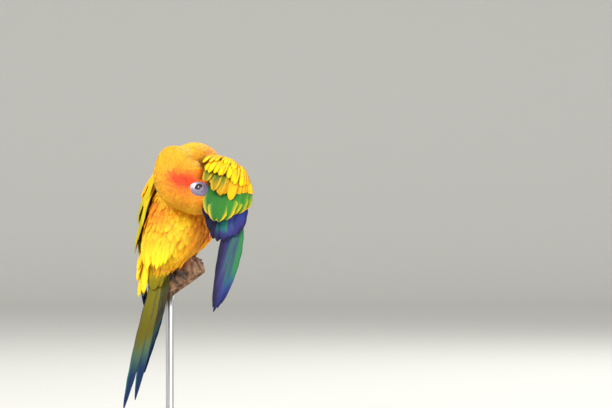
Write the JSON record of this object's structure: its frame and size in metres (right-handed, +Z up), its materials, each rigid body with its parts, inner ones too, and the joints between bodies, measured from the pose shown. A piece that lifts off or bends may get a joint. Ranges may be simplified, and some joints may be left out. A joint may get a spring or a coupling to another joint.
{
  "type": "sun conure",
  "caption": "Life-size still model of a sun conure that preens under its drooping right wing, head upside down, on a stub of branch held by a plain display stand.",
  "frame": {"origin": "middle of the underside of the stand's round base", "axes": "+Z up; the main view looks along +Y at the bird's back, with +X to the right"},
  "size_m": [0.132, 0.132, 0.2169],
  "materials": {
    "golden_feather": "soft overlapping body feathers, golden yellow",
    "orange_feather": "soft short face and belly feathers, orange",
    "wing_feather": "flight feathers and coverts, yellow, green and blue violet",
    "tail_feather": "long tail feathers, olive with blue tips",
    "bill_horn": "grey black horn, satin",
    "foot_skin": "scaly dark grey skin with black claws",
    "eye_glass": "wet, near black, polished",
    "branch_wood": "weathered bare branch, matt",
    "stand_wood": "pale turned beech, satin",
    "stand_steel": "brushed"
  },
  "bodies": {
    "root": {"stand_base": "stand_wood", "stand_rod": "stand_steel", "perch": "branch_wood", "torso": "golden_feather", "neck": "golden_feather", "head": "orange_feather", "eye_left": "eye_glass", "eye_right": "eye_glass", "bill_upper": "bill_horn", "bill_lower": "bill_horn", "wing_right": "wing_feather", "wing_left": "wing_feather", "tail": "tail_feather", "leg_right": "orange_feather", "leg_left": "orange_feather", "foot_right": "foot_skin", "foot_left": "foot_skin"}
  },
  "joints": []
}
